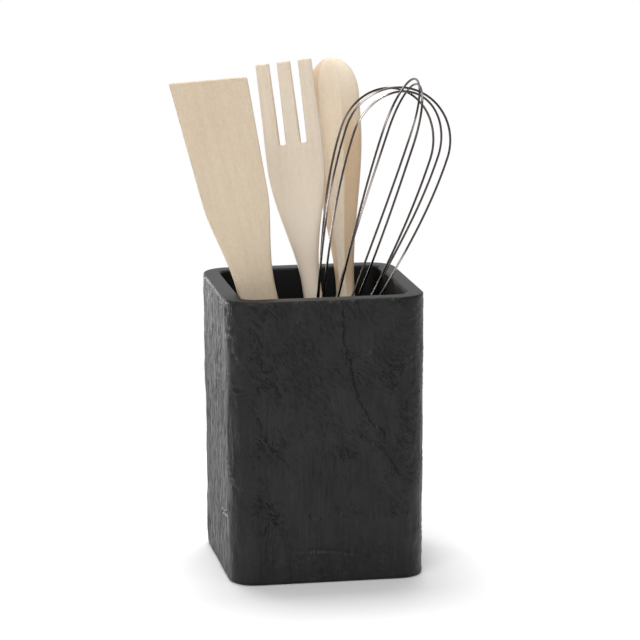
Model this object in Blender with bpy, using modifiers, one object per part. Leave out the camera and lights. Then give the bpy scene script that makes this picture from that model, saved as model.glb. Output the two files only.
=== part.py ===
"""Utensil holder: a square slate-look pot with a wooden spatula, fork and spoon and a wire whisk.

Metres, +Z up. The origin is the centre of the base pad's underside, and the pot's front faces -Y.
Each utensil is modelled upright at the origin, its foot down and its tip up, and is then leaned so
that its side clears the rounded inner edge of the pot's rim by FIT_GAP.
"""
import math

import bmesh
import bpy
import numpy as np
from mathutils import Matrix, Vector

# Pot
POT_WIDTH = 0.104
POT_DEPTH = 0.104
POT_HEIGHT = 0.1495
POT_DRAFT = 0.001
WALL = 0.0088
POT_FLOOR = 0.0095
OUTER_CORNER = 0.015
INNER_CORNER = 0.007
EDGE_ROUND = 0.0016
BASE_EDGE_ROUND = 0.0008
PAD_THICKNESS = 0.0015
PAD_RECESS = 0.0015
PAD_INSET = 0.005

# Room left between pieces, and how far a cutter runs past what it cuts
FIT_GAP = 0.0003
OVERRUN = 0.004

# Spatula: a flat turner with a broad handle
SPATULA_LENGTH = 0.2564
SPATULA_TIP_WIDTH = 0.0400
SPATULA_SHOULDER_WIDTH = 0.0342
SPATULA_NECK_WIDTH = 0.0198
SPATULA_END_WIDTH = 0.0225
SPATULA_BLADE = 0.062
SPATULA_SHOULDER = 0.052
SPATULA_THICKNESS = 0.0055
SPATULA_TIP_THICKNESS = 0.0026
SPATULA_TIP_CORNER = 0.0015
SPATULA_TIP_SLANT = 0.0062
SPATULA_FOOT_X = -0.0049
SPATULA_FOOT_Y = -0.025

# Fork: three tines, a tapering head and a round handle
FORK_LENGTH = 0.2535
FORK_TIP_WIDTH = 0.0302
FORK_HEAD_WIDTH = 0.0312
FORK_HEAD = 0.053
FORK_SHOULDER = 0.067
FORK_HEAD_THICKNESS = 0.0062
FORK_TIP_THICKNESS = 0.0034
FORK_HANDLE_WIDTH = 0.0102
FORK_TINES = 3
FORK_SLOT_LENGTH = 0.0445
FORK_SLOT_WIDTH = 0.0040
FORK_SLOT_ROOT_WIDTH = 0.0031
FORK_SLOT_CORNER = 0.0008
FORK_TINE_CORNER = 0.0010
FORK_FOOT_X = 0.0196
FORK_FOOT_Y = 0.022
FORK_SIDEWAYS_SHARE = -0.104
FORK_TURN = -15.0

# Spoon: a long shallow bowl with a rounded back, and a round handle
SPOON_LENGTH = 0.2600
SPOON_BOWL_WIDTH = 0.0292
SPOON_TIP_ROUND = 0.0209
SPOON_BOWL = 0.0372
SPOON_SHOULDER = 0.0885
SPOON_BACK_DEPTH = 0.0066
SPOON_RIM_THICKNESS = 0.0040
SPOON_HOLLOW_DEPTH = 0.0034
SPOON_HOLLOW_MARGIN = 0.0026
SPOON_HANDLE_WIDTH = 0.0100
SPOON_FOOT_X = 0.0252
SPOON_FOOT_Y = -0.0024
SPOON_SIDEWAYS_SHARE = -0.007
SPOON_TURN = -26.0

# Whisk: five wire loops, a tube handle, the plug that the wires are set in, and a domed end cap
WHISK_LENGTH = 0.2584
WHISK_HANDLE_LENGTH = 0.084
WHISK_HANDLE_WIDTH = 0.0120
WHISK_TUBE_WALL = 0.0008
WHISK_LOOPS = 5
WHISK_WIRE = 0.0012
WHISK_RADIUS = 0.0281
WHISK_CROWN = 0.0291
WHISK_LEG_CIRCLE = 0.0036
WHISK_MOUTH_SHARE = 0.71
WHISK_PLUG_LENGTH = 0.012
WHISK_PLUG_DEPTH = 0.001
WHISK_CAP_LENGTH = 0.010
WHISK_FOOT_X = -0.0225
WHISK_FOOT_Y = 0.005
WHISK_TURN = -8.0

# How far each loop's crown lies below the whisk's top, as a share of the wire, how far it is bent
# to one side, as a share of the whisk's radius, and how many degrees it twists towards its crown
LOOP_DROP_SHARES = (4.8, 6.2, 0.0, 2.0, 6.8)
LOOP_SHIFT_SHARES = (0.0, 0.0, -0.23, -0.13, 0.23)
LOOP_TWISTS = (4.0, -6.0, -2.0, -8.0, 3.0)

# Resolution
RING_POINTS = 20
CORNER_STEPS = 6
EDGE_STEPS = 3

# Where the pot stands
RECESS_Z = PAD_THICKNESS + FIT_GAP
POT_BASE_Z = RECESS_Z - PAD_RECESS
POT_FLOOR_Z = POT_BASE_Z + POT_FLOOR
RIM_Z = POT_BASE_Z + POT_HEIGHT
INNER_HALF_WIDTH = POT_WIDTH / 2 - WALL
INNER_HALF_DEPTH = POT_DEPTH / 2 - WALL

for old in list(bpy.data.objects):
    bpy.data.objects.remove(old, do_unlink=True)


def collection(name):
    """A new collection in the scene."""
    made = bpy.data.collections.new(name)
    bpy.context.scene.collection.children.link(made)
    return made


PARTS = collection("utensil_holder")
CUTTERS = collection("cutters")


def material(name, colour, roughness, metallic):
    """A plain Principled material."""
    made = bpy.data.materials.new(name)
    made.use_nodes = True
    shader = made.node_tree.nodes["Principled BSDF"]
    shader.inputs["Base Color"].default_value = (*colour, 1.0)
    shader.inputs["Roughness"].default_value = roughness
    shader.inputs["Metallic"].default_value = metallic
    return made


# Each finish is a colour, a roughness and a metallic value
SLATE = ((0.028, 0.028, 0.029), 0.55, 0.0)
PAD_FOAM = ((0.012, 0.012, 0.012), 0.9, 0.0)
WOOD = ((0.68, 0.57, 0.42), 0.6, 0.0)
STEEL = ((0.42, 0.41, 0.40), 0.25, 1.0)
PLUG_PLASTIC = ((0.05, 0.05, 0.05), 0.5, 0.0)


def add_object(name, mesh, finish=None, home=PARTS):
    """Link a mesh as a named object with its own material, its round faces shaded smooth."""
    made = bpy.data.objects.new(name, mesh)
    home.objects.link(made)
    if finish is not None:
        mesh.materials.clear()
        mesh.materials.append(material(name, *finish))
        mesh.shade_smooth()
        mesh.set_sharp_from_angle(angle=math.radians(40))
    else:
        made.hide_render = True
        made.display_type = "WIRE"
    return made


def cut(target, cutter):
    """Take the cutter out of the target."""
    modifier = target.modifiers.new("cut_" + cutter.name, "BOOLEAN")
    modifier.operation = "DIFFERENCE"
    modifier.solver = "EXACT"
    modifier.object = cutter


def rounded_rectangle(width, depth, corner):
    """Points of a rectangle's outline, counterclockwise, with an arc at each corner."""
    points = []
    for quarter, (side_x, side_y) in enumerate(((1, 1), (-1, 1), (-1, -1), (1, -1))):
        centre = Vector((side_x * (width / 2 - corner), side_y * (depth / 2 - corner)))
        for step in range(CORNER_STEPS + 1):
            angle = math.radians(90) * (quarter + step / CORNER_STEPS)
            points.append(centre + corner * Vector((math.cos(angle), math.sin(angle))))
    return points


def flat_solid(name, outline, thickness, finish=None, home=PARTS):
    """A flat outline given a thickness, centred on its plane, as a welded mesh."""
    curve = bpy.data.curves.new(name, "CURVE")
    curve.dimensions = "2D"
    curve.fill_mode = "BOTH"
    curve.extrude = thickness / 2
    spline = curve.splines.new("POLY")
    spline.points.add(len(outline) - 1)
    for point, place in zip(spline.points, outline):
        point.co = (place[0], place[1], 0, 1)
    spline.use_cyclic_u = True
    guide = bpy.data.objects.new(name + "_outline", curve)
    bpy.context.scene.collection.objects.link(guide)
    bpy.context.view_layer.update()
    evaluated = guide.evaluated_get(bpy.context.evaluated_depsgraph_get())
    mesh = bpy.data.meshes.new_from_object(evaluated)
    bpy.data.objects.remove(guide, do_unlink=True)
    shape = bmesh.new()
    shape.from_mesh(mesh)
    bmesh.ops.remove_doubles(shape, verts=shape.verts, dist=FIT_GAP / 100)
    bmesh.ops.recalc_face_normals(shape, faces=shape.faces)
    shape.to_mesh(mesh)
    shape.free()
    return add_object(name, mesh, finish, home)


def ease(value):
    """0 below 0, 1 above 1, and a smooth step between."""
    value = np.clip(value, 0.0, 1.0)
    return value * value * (3 - 2 * value)


def mix(start, end, share):
    """A value that runs from start to end as share runs from 0 to 1."""
    return start + (end - start) * share


def rounded_end(half, distance, radius):
    """A half-width that is drawn in along an arc where it comes within radius of its end."""
    inside = np.clip(radius - distance, 0.0, radius)
    return half - radius + np.sqrt(radius * radius - inside * inside)


def stations(length, foot_round, tip_round, count):
    """Distances from the foot: an arc's steps at each end and even steps between them."""
    arc = 1 - np.cos(np.radians(np.array((12, 32, 55, 90))))
    middle = np.linspace(foot_round, length - tip_round, count)
    return np.concatenate([foot_round * arc[:-1], middle, length - tip_round * arc[:-1][::-1]])


def skin(name, rings, finish):
    """A closed skin through rings of as many points each, with a flat face at each end."""
    shape = bmesh.new()
    rings = [[shape.verts.new(point) for point in ring] for ring in rings]
    for lower, upper in zip(rings, rings[1:]):
        for place in range(len(lower)):
            after = (place + 1) % len(lower)
            shape.faces.new((lower[place], lower[after], upper[after], upper[place]))
    shape.faces.new(rings[0][::-1])
    shape.faces.new(rings[-1])
    mesh = bpy.data.meshes.new(name)
    shape.to_mesh(mesh)
    shape.free()
    return add_object(name, mesh, finish)


def loft(name, along, half_width, front, back, power, hollow=None, margin=None, slope=None):
    """A utensil's skin through superellipse rings, one for each distance along +Z.

    A ring's half-width is across X, its front height along +Y and its back height along -Y. The
    power is 2 for an ellipse and more for a squarer ring. The hollow is a dish sunk in the front,
    and the slope tilts a ring so that it climbs towards -X.
    """
    angles = np.radians(360) * (np.arange(RING_POINTS) + 0.5) / RING_POINTS
    cosine, sine = np.cos(angles), np.sin(angles)
    rings = []
    for index, distance in enumerate(along):
        exponent = 2 / power[index]
        across = half_width[index] * np.sign(cosine) * np.abs(cosine) ** exponent
        height = np.where(sine > 0, front[index], back[index])
        rise = height * np.sign(sine) * np.abs(sine) ** exponent
        if hollow is not None and hollow[index] > 0:
            reach = half_width[index] - margin
            dish = hollow[index] * np.clip(1 - (across / reach) ** 2, 0, 1)
            rise = np.where(sine > 0, rise - dish, rise)
        tilt = 0.0 if slope is None else slope[index]
        rings.append(list(zip(across, rise, distance - tilt * across)))
    return skin(name, rings, WOOD)


def lean_angle(foot_distance, foot_height, foot_round, along, half, skin=0.0):
    """The angle from upright at which a piece clears the rim's rounded inner edge by FIT_GAP.

    The piece's foot is foot_distance from the wall, its arc's centre is foot_height up, and half is
    its half-width at each distance along it, with a skin over that such as a wire's own radius. The
    angle is found by halving its range.
    """
    edge_side = foot_distance + EDGE_ROUND
    edge_rise = RIM_Z - EDGE_ROUND
    low, high = 0.0, math.radians(60)
    for _ in range(40):
        angle = (low + high) / 2
        run = along - foot_round
        side = run * math.sin(angle) + half * math.cos(angle)
        rise = foot_height + run * math.cos(angle) - half * math.sin(angle)
        to_wall = foot_distance - side
        to_edge = np.hypot(side - edge_side, rise - edge_rise) - EDGE_ROUND
        room = np.where(rise < edge_rise, to_wall, to_edge).min() - skin
        beyond = np.any((side > edge_side) & (rise < RIM_Z))
        if room > FIT_GAP and not beyond:
            low = angle
        else:
            high = angle
    return low


def stand(name, foot_x, foot_y, foot_round, slope_x, slope_y, turn):
    """An empty at the foot's centre, its Z along the utensil, turned about that axis."""
    up = Vector((slope_x, slope_y, 1)).normalized()
    lean = Vector((0, 0, 1)).rotation_difference(up).to_matrix().to_4x4()
    holder = bpy.data.objects.new(name, None)
    PARTS.objects.link(holder)
    foot = Vector((foot_x, foot_y, POT_FLOOR_Z + FIT_GAP + foot_round))
    holder.matrix_world = Matrix.Translation(foot) @ lean @ Matrix.Rotation(math.radians(turn), 4, "Z")
    print(name, "foot", [round(v, 5) for v in foot], "axis", [round(v, 6) for v in up])
    return holder


def seat(piece, holder, foot_round):
    """Carry a piece on its stand, its foot's arc centred on the stand."""
    piece.parent = holder
    piece.location = (0, 0, -foot_round)


def fine(length):
    """Even distances along a piece, close enough together to find where it comes nearest."""
    return np.linspace(0, length, 600)


def build_pot():
    """The pot: from the pad's recess up its outer wall, over the rim and down to its inner floor.

    Its outer wall widens by POT_DRAFT on each side from its base to its rim. The rim's two edges
    and the inner floor's edge are arcs of EDGE_ROUND.
    """
    arc = [(math.sin(a), 1 - math.cos(a)) for a in np.radians(np.linspace(0, 90, EDGE_STEPS + 1))]
    rings = []

    def add_ring(width, depth, corner, inset, height):
        outline = rounded_rectangle(width - 2 * inset, depth - 2 * inset, corner - inset)
        rings.append([(x, y, height) for x, y in outline])

    outer = (POT_WIDTH, POT_DEPTH, OUTER_CORNER)
    inner = (2 * INNER_HALF_WIDTH, 2 * INNER_HALF_DEPTH, INNER_CORNER)
    add_ring(*outer, PAD_INSET - FIT_GAP, RECESS_Z)
    add_ring(*outer, PAD_INSET - FIT_GAP, POT_BASE_Z)
    for rise, run in arc:
        inset = POT_DRAFT + BASE_EDGE_ROUND * (1 - rise)
        add_ring(*outer, inset, POT_BASE_Z + BASE_EDGE_ROUND * run)
    for rise, run in arc:
        add_ring(*outer, EDGE_ROUND * run, RIM_Z - EDGE_ROUND * (1 - rise))
    for rise, run in arc:
        add_ring(*inner, EDGE_ROUND * (rise - 1), RIM_Z - EDGE_ROUND * run)
    for rise, run in arc:
        add_ring(*inner, EDGE_ROUND * run, POT_FLOOR_Z + EDGE_ROUND * (1 - rise))
    skin("holder_body", rings, SLATE)


def build_pad():
    """The anti-slip pad, set in a shallow recess in the pot's base."""
    inset = 2 * PAD_INSET
    outline = rounded_rectangle(POT_WIDTH - inset, POT_DEPTH - inset, OUTER_CORNER - PAD_INSET)
    pad = flat_solid("base_pad", outline, PAD_THICKNESS, PAD_FOAM)
    pad.location = (0, 0, PAD_THICKNESS / 2)


def spatula_half_width(along):
    """Half the spatula's width: a tapering blade, drawn-in shoulders and a broad handle."""
    from_tip = SPATULA_LENGTH - along
    reach = SPATULA_BLADE + SPATULA_SHOULDER
    blade = mix(SPATULA_TIP_WIDTH, SPATULA_SHOULDER_WIDTH, from_tip / SPATULA_BLADE) / 2
    share = (from_tip - reach) / (SPATULA_LENGTH - reach)
    handle = mix(SPATULA_NECK_WIDTH, SPATULA_END_WIDTH, np.clip(share, 0, 1)) / 2
    half = mix(blade, handle, ease((from_tip - SPATULA_BLADE) / SPATULA_SHOULDER))
    half = rounded_end(half, from_tip, SPATULA_TIP_CORNER)
    return rounded_end(half, along, SPATULA_END_WIDTH / 2)


def build_spatula():
    """The spatula, leaned on the pot's left wall."""
    foot_round = SPATULA_END_WIDTH / 2
    along = stations(SPATULA_LENGTH, foot_round, SPATULA_TIP_CORNER, 18)
    half = spatula_half_width(along)
    from_tip = SPATULA_LENGTH - along
    thick = mix(SPATULA_TIP_THICKNESS, SPATULA_THICKNESS, ease(from_tip / SPATULA_BLADE)) / 2
    thick = rounded_end(thick, from_tip, SPATULA_TIP_THICKNESS / 2)
    thick = rounded_end(thick, along, SPATULA_THICKNESS / 2)
    slope = SPATULA_TIP_SLANT / SPATULA_TIP_WIDTH * (1 - ease(from_tip / SPATULA_BLADE))
    spatula = loft(
        "wooden_spatula", along, half, thick, thick, np.full(len(along), 5.0), slope=slope
    )
    near = fine(SPATULA_LENGTH)
    reach = INNER_HALF_WIDTH + SPATULA_FOOT_X
    height = POT_FLOOR_Z + FIT_GAP + foot_round
    lean = lean_angle(reach, height, foot_round, near, spatula_half_width(near))
    holder = stand(
        "spatula_stand", SPATULA_FOOT_X, SPATULA_FOOT_Y, foot_round, -math.tan(lean), 0.0, 0.0
    )
    seat(spatula, holder, foot_round)


def fork_half_width(along):
    """Half the fork's width: a head that draws in to a round handle."""
    from_tip = FORK_LENGTH - along
    head = mix(FORK_TIP_WIDTH, FORK_HEAD_WIDTH, np.clip(from_tip / FORK_SLOT_LENGTH, 0, 1)) / 2
    half = mix(head, FORK_HANDLE_WIDTH / 2, ease((from_tip - FORK_HEAD) / FORK_SHOULDER))
    half = rounded_end(half, from_tip, FORK_TINE_CORNER)
    return rounded_end(half, along, FORK_HANDLE_WIDTH / 2)


def fork_half_thickness(along):
    """Half the fork's thickness: thin at the tips, thicker in the head, round in the handle."""
    from_tip = FORK_LENGTH - along
    head = mix(FORK_TIP_THICKNESS, FORK_HEAD_THICKNESS, ease(from_tip / FORK_HEAD)) / 2
    half = mix(head, FORK_HANDLE_WIDTH / 2, ease((from_tip - FORK_HEAD) / FORK_SHOULDER))
    half = rounded_end(half, from_tip, FORK_TIP_THICKNESS / 2)
    return rounded_end(half, along, FORK_HANDLE_WIDTH / 2)


def slot_outline():
    """A slot between two tines: it widens from its root, and its mouth flares at the tips."""
    half = FORK_SLOT_WIDTH / 2
    inner = FORK_SLOT_ROOT_WIDTH / 2 - FORK_SLOT_CORNER
    root = FORK_LENGTH - FORK_SLOT_LENGTH + FORK_SLOT_CORNER
    flare = FORK_LENGTH - FORK_TINE_CORNER
    side = []
    for angle in np.radians(np.linspace(0, 90, 4)):
        run, rise = math.sin(angle), math.cos(angle)
        side.append((inner + FORK_SLOT_CORNER * run, root - FORK_SLOT_CORNER * rise))
    for angle in np.radians(np.linspace(0, 80, 5)):
        run, rise = 1 - math.cos(angle), math.sin(angle)
        side.append((half + FORK_TINE_CORNER * run, flare + FORK_TINE_CORNER * rise))
    side.append((side[-1][0], FORK_LENGTH + OVERRUN))
    return side + [(-x, y) for x, y in side[::-1]]


def build_fork():
    """The fork, leaned back on the pot's rear wall."""
    foot_round = FORK_HANDLE_WIDTH / 2
    along = stations(FORK_LENGTH, foot_round, FORK_TINE_CORNER, 20)
    half = fork_half_width(along)
    thick = fork_half_thickness(along)
    power = mix(4.5, 2.2, ease((FORK_LENGTH - along - FORK_HEAD) / FORK_SHOULDER))
    fork = loft("wooden_fork", along, half, thick, thick, power)
    pitch = (FORK_TIP_WIDTH + FORK_SLOT_WIDTH) / FORK_TINES
    for number in range(1, FORK_TINES):
        across = (number - FORK_TINES / 2) * pitch
        cutter = flat_solid(
            "tine_slot_%d" % number, slot_outline(), 2 * FORK_HANDLE_WIDTH, home=CUTTERS
        )
        cutter.data.transform(Matrix.Rotation(math.radians(90), 4, "X"))
        cutter.parent = fork
        cutter.location = (across, 0, 0)
        cut(fork, cutter)
    near = fine(FORK_LENGTH)
    height = POT_FLOOR_Z + FIT_GAP + foot_round
    lean = lean_angle(
        INNER_HALF_DEPTH - FORK_FOOT_Y, height, foot_round, near, fork_half_thickness(near)
    )
    holder = stand(
        "fork_stand", FORK_FOOT_X, FORK_FOOT_Y, foot_round, FORK_SIDEWAYS_SHARE,
        math.tan(lean), FORK_TURN
    )
    seat(fork, holder, foot_round)


def spoon_bowl_share(along):
    """1 in the spoon's bowl, 0 in its handle, and a smooth step along its shoulder."""
    from_tip = SPOON_LENGTH - along
    return 1 - ease((from_tip - SPOON_BOWL) / SPOON_SHOULDER)


def spoon_tip_share(along):
    """1 in the spoon, drawn in along an ellipse at the tip of its bowl."""
    inside = np.clip(SPOON_TIP_ROUND - (SPOON_LENGTH - along), 0, SPOON_TIP_ROUND)
    return np.sqrt(np.clip(1 - (inside / SPOON_TIP_ROUND) ** 2, 0, 1))


def spoon_half_width(along):
    """Half the spoon's width across its bowl and along its handle."""
    handle = SPOON_HANDLE_WIDTH / 2
    half = mix(handle, SPOON_BOWL_WIDTH / 2, spoon_bowl_share(along)) * spoon_tip_share(along)
    return rounded_end(half, along, handle)


def spoon_height(along, in_bowl):
    """How far the spoon stands out from its middle plane on one side."""
    handle = SPOON_HANDLE_WIDTH / 2
    height = mix(handle, in_bowl, spoon_bowl_share(along)) * np.sqrt(spoon_tip_share(along))
    return rounded_end(height, along, handle)


def build_spoon():
    """The spoon, leaned back on the pot's rear wall, the back of its bowl to the front."""
    foot_round = SPOON_HANDLE_WIDTH / 2
    along = stations(SPOON_LENGTH, foot_round, SPOON_TIP_ROUND, 20)
    bowl = spoon_bowl_share(along)
    spoon = loft(
        "wooden_spoon", along, spoon_half_width(along),
        spoon_height(along, SPOON_RIM_THICKNESS / 2), spoon_height(along, SPOON_BACK_DEPTH),
        mix(2.0, 2.3, bowl), hollow=SPOON_HOLLOW_DEPTH * ease(bowl) * spoon_tip_share(along),
        margin=SPOON_HOLLOW_MARGIN
    )
    near = fine(SPOON_LENGTH)
    turn = math.radians(SPOON_TURN)
    toward_wall = np.hypot(
        spoon_half_width(near) * math.sin(turn),
        spoon_height(near, SPOON_RIM_THICKNESS / 2) * math.cos(turn)
    )
    height = POT_FLOOR_Z + FIT_GAP + foot_round
    reach = INNER_HALF_DEPTH - SPOON_FOOT_Y
    lean = lean_angle(reach, height, foot_round, near, toward_wall)
    holder = stand(
        "spoon_stand", SPOON_FOOT_X, SPOON_FOOT_Y, foot_round, SPOON_SIDEWAYS_SHARE,
        math.tan(lean), SPOON_TURN
    )
    seat(spoon, holder, foot_round)


def loop_turn(number):
    """The heading of a loop's plane about the whisk's axis, before the whisk is turned."""
    return math.radians(180) * number / WHISK_LOOPS


def loop_top(number):
    """Where a loop's crown lies along the whisk, the loops nested so that their wires clear."""
    drop = LOOP_DROP_SHARES[number % len(LOOP_DROP_SHARES)] * WHISK_WIRE
    return WHISK_LENGTH - WHISK_WIRE / 2 - drop


def loop_course(along, number):
    """A loop's two distances from the whisk's axis, and its plane's heading, along the whisk.

    Below an elliptic crown the loop draws in along part of an S-curve to the handle's mouth. Its
    sideways shift and its twist are full at the crown and fade out towards the mouth.
    """
    from_top = loop_top(number) - along
    crown = np.sqrt(np.clip(1 - np.clip(1 - from_top / WHISK_CROWN, 0, 1) ** 2, 0, 1))
    reach = loop_top(number) - WHISK_HANDLE_LENGTH - WHISK_CROWN
    share = np.clip((from_top - WHISK_CROWN) / reach, 0, 1)
    drawn = ease(share * WHISK_MOUTH_SHARE) / ease(WHISK_MOUTH_SHARE)
    radius = mix(WHISK_RADIUS, WHISK_LEG_CIRCLE, drawn) * crown
    bent = 1 - ease(share)
    shift = LOOP_SHIFT_SHARES[number % len(LOOP_SHIFT_SHARES)] * WHISK_RADIUS * bent
    twist = math.radians(LOOP_TWISTS[number % len(LOOP_TWISTS)]) * bent
    return shift + radius, shift - radius, loop_turn(number) + twist


def wire_path(number):
    """Points along one loop: up one leg from the plug, over the crown and down the other leg."""
    top = loop_top(number)
    bottom = WHISK_HANDLE_LENGTH - WHISK_PLUG_DEPTH - WHISK_PLUG_LENGTH
    legs = np.linspace(WHISK_HANDLE_LENGTH, top - WHISK_CROWN, 15, endpoint=False)
    crown = top - WHISK_CROWN * (1 - np.sin(np.radians(np.linspace(0, 90, 10))))
    rise = np.concatenate([[bottom], legs, crown])
    right, left, turn = loop_course(rise, number)
    cosine, sine = np.cos(turn), np.sin(turn)
    up = list(zip(right * cosine, right * sine, rise))
    down = list(zip(left * cosine, left * sine, rise))
    return up + down[-2::-1]


def wire(name, points):
    """A round wire along the points, with filled ends."""
    curve = bpy.data.curves.new(name, "CURVE")
    curve.dimensions = "3D"
    curve.bevel_depth = WHISK_WIRE / 2
    curve.bevel_resolution = 2
    curve.use_fill_caps = True
    spline = curve.splines.new("POLY")
    spline.points.add(len(points) - 1)
    for point, place in zip(spline.points, points):
        point.co = (*place, 1)
    curve.materials.append(material(name, *STEEL))
    made = bpy.data.objects.new(name, curve)
    PARTS.objects.link(made)
    return made


def turned(name, profile, finish, home=PARTS, steps=24):
    """A turned piece: a profile at +X, top to bottom on its outer side, spun about Z."""
    mesh = bpy.data.meshes.new(name)
    edges = [(index, index + 1) for index in range(len(profile) - 1)]
    mesh.from_pydata([(r, 0, z) for r, z in profile], edges, [])
    made = add_object(name, mesh, finish, home)
    screw = made.modifiers.new("spin", "SCREW")
    screw.steps = steps
    screw.render_steps = steps
    screw.use_merge_vertices = True
    screw.merge_threshold = FIT_GAP / 100
    screw.use_smooth_shade = True
    return made


def build_whisk():
    """The whisk, leaned on the pot's right wall."""
    outer = WHISK_HANDLE_WIDTH / 2
    bore = outer - WHISK_TUBE_WALL
    top = WHISK_HANDLE_LENGTH
    tube = turned("whisk_handle", [
        (bore, top), (outer, top), (outer, outer), (bore, outer), (bore, top)
    ], STEEL)
    neck = bore - FIT_GAP
    shoulder = outer - FIT_GAP
    dome = [(outer * math.cos(a), outer - FIT_GAP - shoulder * math.sin(a))
            for a in np.radians(np.linspace(0, 90, 6))]
    cap = turned("whisk_end_cap", [
        (0, WHISK_CAP_LENGTH), (neck, WHISK_CAP_LENGTH), (neck, shoulder), *dome[:-1],
        (0, dome[-1][1])
    ], STEEL)
    plug_top = WHISK_HANDLE_LENGTH - WHISK_PLUG_DEPTH
    plug_base = plug_top - WHISK_PLUG_LENGTH
    plug = turned("whisk_wire_plug", [
        (0, plug_top), (neck, plug_top), (neck, plug_base), (0, plug_base)
    ], PLUG_PLASTIC)
    pieces = [tube, cap, plug]
    hole = WHISK_WIRE / 2 + FIT_GAP
    near = fine(WHISK_LENGTH)
    widest = np.full(len(near), outer - WHISK_WIRE / 2)
    for number in range(WHISK_LOOPS):
        pieces.append(wire("whisk_wire_%d" % (number + 1), wire_path(number)))
        right, left, heading = loop_course(near, number)
        beyond_mouth = (near > WHISK_HANDLE_LENGTH) & (near < loop_top(number))
        for side in (right, left):
            toward_wall = side * np.cos(heading + math.radians(WHISK_TURN))
            widest = np.where(beyond_mouth, np.maximum(widest, toward_wall), widest)
        turn = loop_turn(number)
        for side in (0, math.radians(180)):
            drill = turned("plug_hole", [
                (0, plug_top + OVERRUN), (hole, plug_top + OVERRUN),
                (hole, plug_base - OVERRUN), (0, plug_base - OVERRUN)
            ], None, CUTTERS, 10)
            drill.parent = plug
            drill.location = (
                WHISK_LEG_CIRCLE * math.cos(turn + side), WHISK_LEG_CIRCLE * math.sin(turn + side), 0
            )
            cut(plug, drill)
    widest = np.where(near < outer, 0.0, widest)
    reach = INNER_HALF_WIDTH - WHISK_FOOT_X
    height = POT_FLOOR_Z + FIT_GAP + outer
    lean = lean_angle(reach, height, outer, near, widest, WHISK_WIRE / 2)
    holder = stand("whisk_stand", WHISK_FOOT_X, WHISK_FOOT_Y, outer, math.tan(lean), 0.0, WHISK_TURN)
    for piece in pieces:
        seat(piece, holder, outer)


build_pot()
build_pad()
build_spatula()
build_fork()
build_spoon()
build_whisk()
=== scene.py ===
"""Utensil holder: a square slate-look pot with a wooden spatula, fork and spoon and a wire whisk.

Metres, +Z up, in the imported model's frame: the origin is the centre of the base pad's underside and
the pot's front faces -Y. Each utensil is worked out upright, its foot at the origin and its tip up,
and is then carried to its stand, where it leans on the pot's rim.
"""
import math

import bmesh
import bpy
import numpy as np
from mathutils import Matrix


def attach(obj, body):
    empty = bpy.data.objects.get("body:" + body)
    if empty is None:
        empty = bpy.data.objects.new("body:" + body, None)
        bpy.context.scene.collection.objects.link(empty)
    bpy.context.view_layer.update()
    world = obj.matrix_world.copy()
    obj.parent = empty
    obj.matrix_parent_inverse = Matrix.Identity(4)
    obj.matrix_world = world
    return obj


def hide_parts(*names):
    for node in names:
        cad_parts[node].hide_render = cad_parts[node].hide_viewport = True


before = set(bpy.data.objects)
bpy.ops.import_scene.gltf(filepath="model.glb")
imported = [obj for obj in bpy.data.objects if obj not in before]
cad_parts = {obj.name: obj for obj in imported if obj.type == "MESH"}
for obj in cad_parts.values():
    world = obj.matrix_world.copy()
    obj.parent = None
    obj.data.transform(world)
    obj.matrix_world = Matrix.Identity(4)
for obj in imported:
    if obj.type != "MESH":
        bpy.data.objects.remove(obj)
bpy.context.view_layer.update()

bl_info = {
    "name": "Utensil holder",
    "version": (1, 0, 0),
    "blender": (4, 5, 0),
    "location": "View3D > Sidebar > Utensil holder",
    "description": "Builds a slate-look pot with wooden utensils and a wire whisk",
    "category": "Add Mesh",
}

MM = 0.001


def length(name, default, description):
    """A length that a user can change, in metres."""
    return bpy.props.FloatProperty(
        name=name, description=description, default=default, unit="LENGTH", precision=5
    )


def share(name, default, description):
    """A number from 0 to 1 that a user can change."""
    return bpy.props.FloatProperty(
        name=name, description=description, default=default, min=0.0, max=1.0
    )


def lamp_power(name, default, description):
    """A lamp's power that a user can change, in watts."""
    return bpy.props.FloatProperty(
        name=name, description=description, default=default, min=0.0, unit="POWER"
    )


def colour(name, default, description):
    """A colour that a user can change, in linear values."""
    return bpy.props.FloatVectorProperty(
        name=name, description=description, default=default, subtype="COLOR", size=3,
        min=0.0, max=1.0
    )


class PotSettings(bpy.types.PropertyGroup):
    """Sizes and colours of the pot."""

    width: length("Width", 104 * MM, "Outer width and depth of the pot")
    draft: length("Draft", 1.0 * MM, "How much narrower the base is than the rim on each side")
    base: length("Base height", 0.3 * MM, "Height of the pot's underside over the table")
    base_edge: length("Base edge round", 0.8 * MM, "Radius of the base's edge")
    rim_edge: length("Rim's outer edge", 0.8 * MM, "Radius of the rim's outer edge")
    recess: length("Recess height", 1.8 * MM, "Height of the pad recess's ceiling over the table")
    recess_inset: length("Recess inset", 4.7 * MM, "How far the pad's recess lies inside the base")
    rim: length("Rim height", 149.8 * MM, "Height of the rim over the table")
    wall: length("Wall", 8.8 * MM, "Thickness of the wall at the rim")
    floor: length("Floor height", 9.8 * MM, "Height of the inner floor over the table")
    outer_corner: length("Outer corner", 15 * MM, "Radius of the upright outer edges")
    inner_corner: length("Inner corner", 7 * MM, "Radius of the upright inner edges")
    edge: length("Edge round", 1.6 * MM, "Radius of the rim's inner edge and of the inner floor's")
    relief: length("Relief depth", 0.85 * MM, "Depth of the longest splits in the slate relief")
    slate: colour("Slate", (0.0105, 0.0105, 0.0108), "Colour of the slate relief")
    smooth: colour("Smooth resin", (0.004, 0.004, 0.0042), "Colour of the rim and the inside")


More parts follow.
